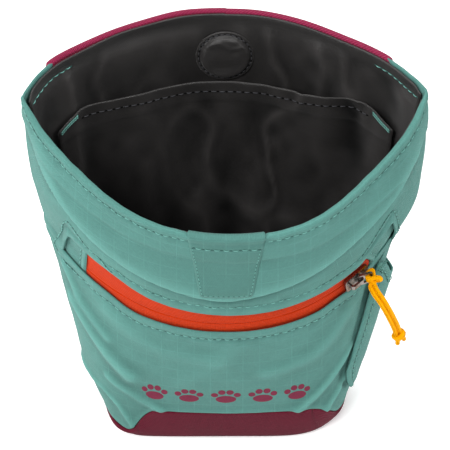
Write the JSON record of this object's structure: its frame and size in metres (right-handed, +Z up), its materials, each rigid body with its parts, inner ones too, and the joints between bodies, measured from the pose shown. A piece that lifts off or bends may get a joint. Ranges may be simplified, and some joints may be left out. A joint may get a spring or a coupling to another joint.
{
  "type": "treat pouch",
  "caption": "Soft open-top belt pouch with a bowed mouth that closes by magnets, a curved zipped front pocket with a corded pull, a dark lining and a contrasting base.",
  "frame": {"origin": "middle of the flat base, on the surface that the pouch stands on", "axes": "+X to the right as seen from the front, +Y to the back (the clip side), +Z up; the zipped front faces -Y"},
  "size_m": [0.1434, 0.0981, 0.1593],
  "materials": {
    "shell_cloth": "matte coated ripstop nylon, sea green",
    "burgundy_cloth": "matte woven nylon, burgundy",
    "burgundy_webbing": "ribbed woven webbing, burgundy",
    "lining_cloth": "smooth coated nylon, charcoal, slight sheen",
    "zipper_tape": "woven tape, orange red",
    "zipper_coil": "moulded nylon coil, orange red",
    "gunmetal": "dark plated zinc with bright worn edges",
    "cord": "braided cord, golden yellow",
    "magnet": "plated magnet, hidden inside the cloth",
    "spring_steel": "dark tempered spring steel, satin"
  },
  "bodies": {
    "pouch": {"back_panel": "burgundy_cloth", "base_boot": "burgundy_cloth", "back_rim_trim": "burgundy_webbing", "clip_patch": "burgundy_webbing", "lining_back": "lining_cloth", "lining_base": "lining_cloth", "inner_slip_pocket": "lining_cloth", "rear_magnet_cap": "lining_cloth", "rear_magnet": "magnet", "belt_clip": "spring_steel", "clip_rivet_lower": "spring_steel", "clip_rivet_upper": "spring_steel"},
    "front": {"front_upper_panel": "shell_cloth", "front_lower_panel": "shell_cloth", "zipper_end_tab_left": "shell_cloth", "zipper_end_tab_right": "shell_cloth", "pocket_back_panel": "lining_cloth", "lining_front": "lining_cloth", "front_magnet": "magnet", "front_magnet_patch": "shell_cloth", "side_bag_pocket": "shell_cloth"},
    "zip": {"zipper_tape_upper": "zipper_tape", "zipper_tape_lower": "zipper_tape", "zipper_coil": "zipper_coil"},
    "slider": {"zipper_slider": "gunmetal"},
    "pull": {"zipper_pull_ring": "gunmetal", "pull_cord_hitch": "cord", "pull_cord_strand_front": "cord", "pull_cord_strand_rear": "cord", "pull_cord_knot": "cord"}
  },
  "joints": [
    {"name": "mouth_close", "type": "hinge", "parent": "pouch", "child": "front", "pos_m": [0, -0.022, 0.003], "axis": [-1, 0, 0], "range_deg": [0, 30], "deforming": ["front_upper_panel", "front_lower_panel", "zipper_end_tab_left", "zipper_end_tab_right", "pocket_back_panel", "lining_front", "front_magnet_patch", "side_bag_pocket"]},
    {"name": "zip_follow", "type": "hinge", "parent": "pouch", "child": "zip", "pos_m": [0, -0.022, 0.003], "axis": [-1, 0, 0], "range_deg": [0, 17], "deforming": ["zipper_tape_upper", "zipper_tape_lower", "zipper_coil"]},
    {"name": "zip_slide", "type": "hinge", "parent": "zip", "child": "slider", "pos_m": [0, 0.02815, 0.10492], "axis": [0, 0.3502, -0.9367], "range_deg": [0, 80]},
    {"name": "pull_flip", "type": "hinge", "parent": "slider", "child": "pull", "pos_m": [0.04797, -0.02251, 0.08618], "axis": [0.1073, 0.2324, -0.9667], "range_deg": [0, 62]}
  ],
  "couplings": [
    {"joint": "zip_follow", "follows": "mouth_close", "ratio": 0.53}
  ]
}
